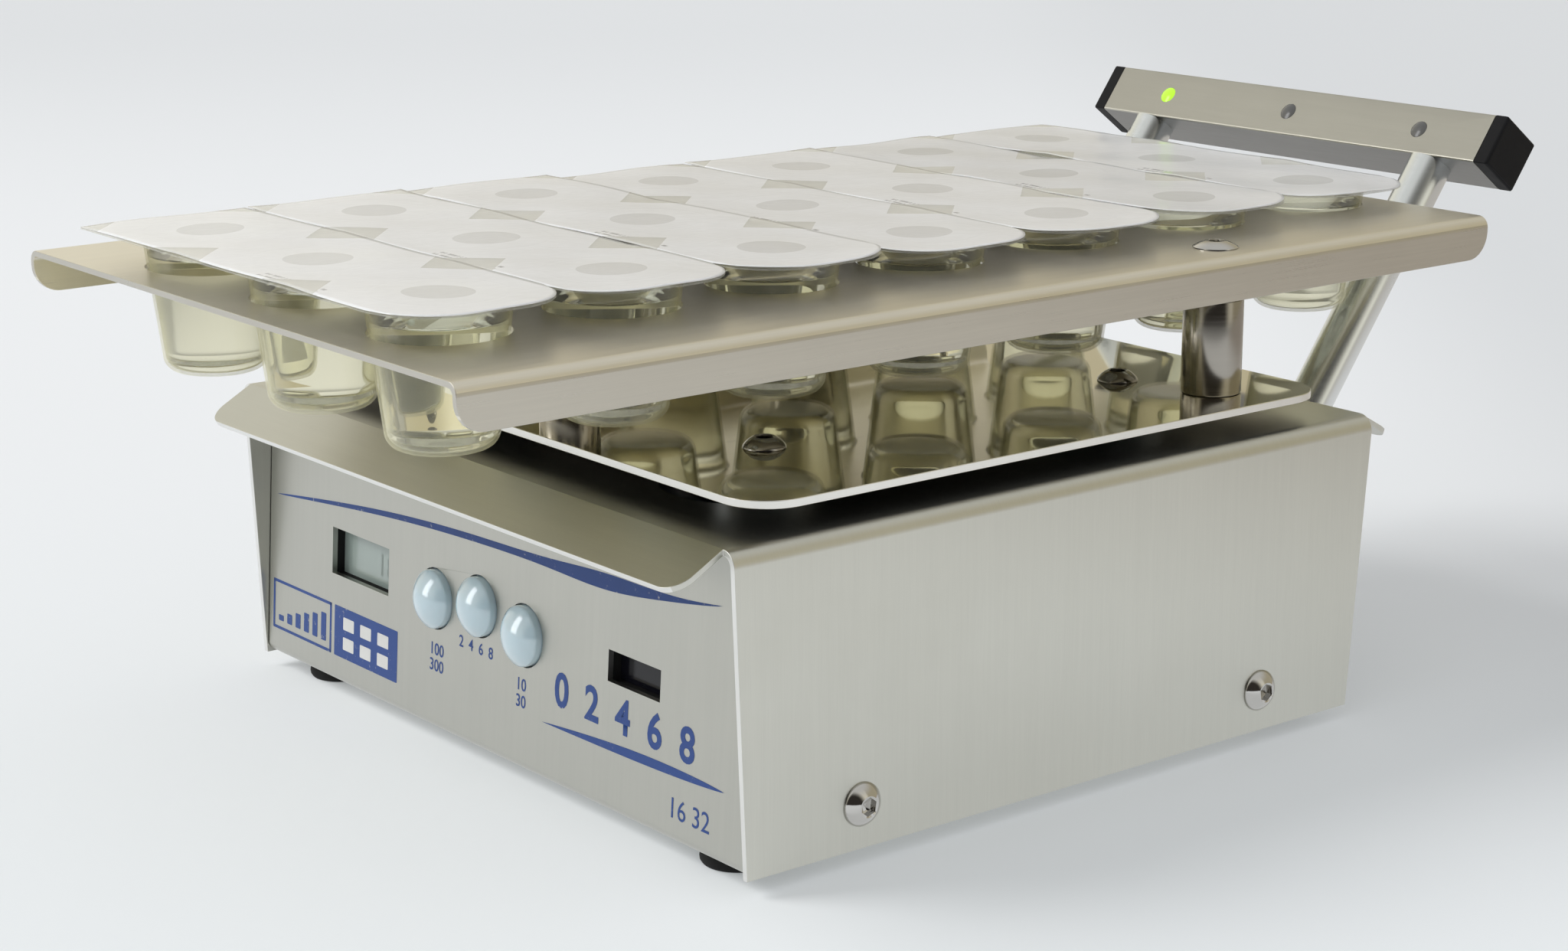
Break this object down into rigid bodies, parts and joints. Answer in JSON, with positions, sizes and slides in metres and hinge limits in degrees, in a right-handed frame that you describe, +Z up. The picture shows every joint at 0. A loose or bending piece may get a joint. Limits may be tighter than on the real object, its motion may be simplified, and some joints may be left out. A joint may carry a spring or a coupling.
{
  "type": "laboratory shaker",
  "caption": "Bench shaker with an orbiting drive plate that carries a tray of sealed cup strips, a leaning control panel, and a lamp bar on slanted legs behind the tray.",
  "frame": {"origin": "centre of the overall box on the bench surface, under the feet", "axes": "+Z up, -Y towards the user at the control panel, +X to the user's right"},
  "size_m": [0.2218, 0.367, 0.1456],
  "materials": {
    "brushed_stainless": "brushed, fine vertical grain",
    "polished_stainless": "polished",
    "satin_steel": "satin, turned",
    "bearing_steel": "ground",
    "zinc_steel": "zinc plated",
    "deck_aluminium": "milled",
    "satin_aluminium": "satin anodised",
    "black_rubber": "matt",
    "black_plastic": "fine matt",
    "button_blue": "glossy translucent",
    "display_glass": "satin",
    "board_green": "lacquered",
    "lens_lit": "clear, lit",
    "lens_dark": "clear, unlit",
    "clear_plastic": "clear, thin",
    "lid_film": "printed film",
    "clear_liquid": "clear liquid"
  },
  "bodies": {
    "base": {"top_cover": "brushed_stainless", "chassis": "brushed_stainless", "cover_screws": "polished_stainless", "clinch_nuts": "zinc_steel", "rubber_feet": "black_rubber", "foot_screws": "zinc_steel", "mechanism_plate": "deck_aluminium", "deck_pillars": "satin_steel", "deck_screws": "zinc_steel", "deck_bearings": "bearing_steel", "motor": "zinc_steel", "motor_screws": "zinc_steel", "drive_belt": "black_rubber", "window_gaskets": "black_rubber", "display_module": "display_glass", "sensor_module": "black_plastic", "control_board": "board_green", "board_spacers": "zinc_steel", "key_switches": "black_plastic", "power_inlet": "black_plastic", "switch_frame": "black_plastic", "power_supply": "deck_aluminium", "lamp_bar": "satin_aluminium", "lamp_bar_caps": "black_plastic", "lamp_board": "board_green", "lamp_lens_lit": "lens_lit", "lamp_lenses_dark": "lens_dark", "lamp_legs": "satin_steel", "leg_brackets": "brushed_stainless", "leg_screws": "polished_stainless"},
    "motor_rotor": {"motor_shaft": "bearing_steel", "motor_pulley": "deck_aluminium"},
    "main_crank": {"main_shaft": "bearing_steel", "main_pulley": "deck_aluminium", "counterweight": "zinc_steel"},
    "idler_front_left": {"idler_crank_front_left": "bearing_steel"},
    "idler_front_right": {"idler_crank_front_right": "bearing_steel"},
    "idler_rear_left": {"idler_crank_rear_left": "bearing_steel"},
    "idler_rear_right": {"idler_crank_rear_right": "bearing_steel"},
    "platform": {"drive_plate": "polished_stainless", "plate_screws": "polished_stainless", "bearing_hubs": "satin_steel", "hub_bearings": "bearing_steel", "tray_posts": "polished_stainless", "post_screws": "polished_stainless", "cup_tray": "brushed_stainless"},
    "pack_front": {"cup_strips_front": "clear_plastic", "lid_films_front": "lid_film", "diluent_front": "clear_liquid"},
    "pack_rear": {"cup_strips_rear": "clear_plastic", "lid_films_rear": "lid_film", "diluent_rear": "clear_liquid"},
    "button_left": {"push_button_1": "button_blue"},
    "button_middle": {"push_button_2": "button_blue"},
    "button_right": {"push_button_3": "button_blue"},
    "rocker": {"switch_rocker": "black_plastic"}
  },
  "joints": [
    {"name": "crank_spin", "type": "hinge", "parent": "base", "child": "main_crank", "pos_m": [0, -0.0235, 0.052], "axis": [0, 0, 1], "continuous": true},
    {"name": "platform_orbit", "type": "hinge", "parent": "main_crank", "child": "platform", "pos_m": [0, -0.0185, 0.07], "axis": [0, 0, 1], "continuous": true},
    {"name": "motor_spin", "type": "hinge", "parent": "base", "child": "motor_rotor", "pos_m": [0, 0.034, 0.052], "axis": [0, 0, 1], "continuous": true},
    {"name": "idler_front_left_spin", "type": "hinge", "parent": "base", "child": "idler_front_left", "pos_m": [-0.061, -0.081, 0.052], "axis": [0, 0, 1], "continuous": true},
    {"name": "idler_front_right_spin", "type": "hinge", "parent": "base", "child": "idler_front_right", "pos_m": [0.061, -0.081, 0.052], "axis": [0, 0, 1], "continuous": true},
    {"name": "idler_rear_left_spin", "type": "hinge", "parent": "base", "child": "idler_rear_left", "pos_m": [-0.061, 0.034, 0.052], "axis": [0, 0, 1], "continuous": true},
    {"name": "idler_rear_right_spin", "type": "hinge", "parent": "base", "child": "idler_rear_right", "pos_m": [0.061, 0.034, 0.052], "axis": [0, 0, 1], "continuous": true},
    {"name": "button_left_press", "type": "slide", "parent": "base", "child": "button_left", "axis": [0, 0.9979, -0.0645], "range_m": [0, 0.0012], "stiffness_N_per_m": 400, "springref_m": -0.0006},
    {"name": "button_middle_press", "type": "slide", "parent": "base", "child": "button_middle", "axis": [0, 0.9979, -0.0645], "range_m": [0, 0.0012], "stiffness_N_per_m": 400, "springref_m": -0.0006},
    {"name": "button_right_press", "type": "slide", "parent": "base", "child": "button_right", "axis": [0, 0.9979, -0.0645], "range_m": [0, 0.0012], "stiffness_N_per_m": 400, "springref_m": -0.0006},
    {"name": "switch_rock", "type": "hinge", "parent": "base", "child": "rocker", "pos_m": [0.03, 0.0762, 0.03], "axis": [1, 0, 0], "range_deg": [0, 16]},
    {"name": "pack_front_lift", "type": "slide", "parent": "platform", "child": "pack_front", "axis": [0, 0, 1], "range_m": [0, 0.06]},
    {"name": "pack_rear_lift", "type": "slide", "parent": "platform", "child": "pack_rear", "axis": [0, 0, 1], "range_m": [0, 0.06]}
  ],
  "couplings": [
    {"joint": "platform_orbit", "follows": "crank_spin", "ratio": -1},
    {"joint": "motor_spin", "follows": "crank_spin", "ratio": 3.7624},
    {"joint": "idler_front_left_spin", "follows": "crank_spin", "ratio": 1},
    {"joint": "idler_front_right_spin", "follows": "crank_spin", "ratio": 1},
    {"joint": "idler_rear_left_spin", "follows": "crank_spin", "ratio": 1},
    {"joint": "idler_rear_right_spin", "follows": "crank_spin", "ratio": 1}
  ]
}
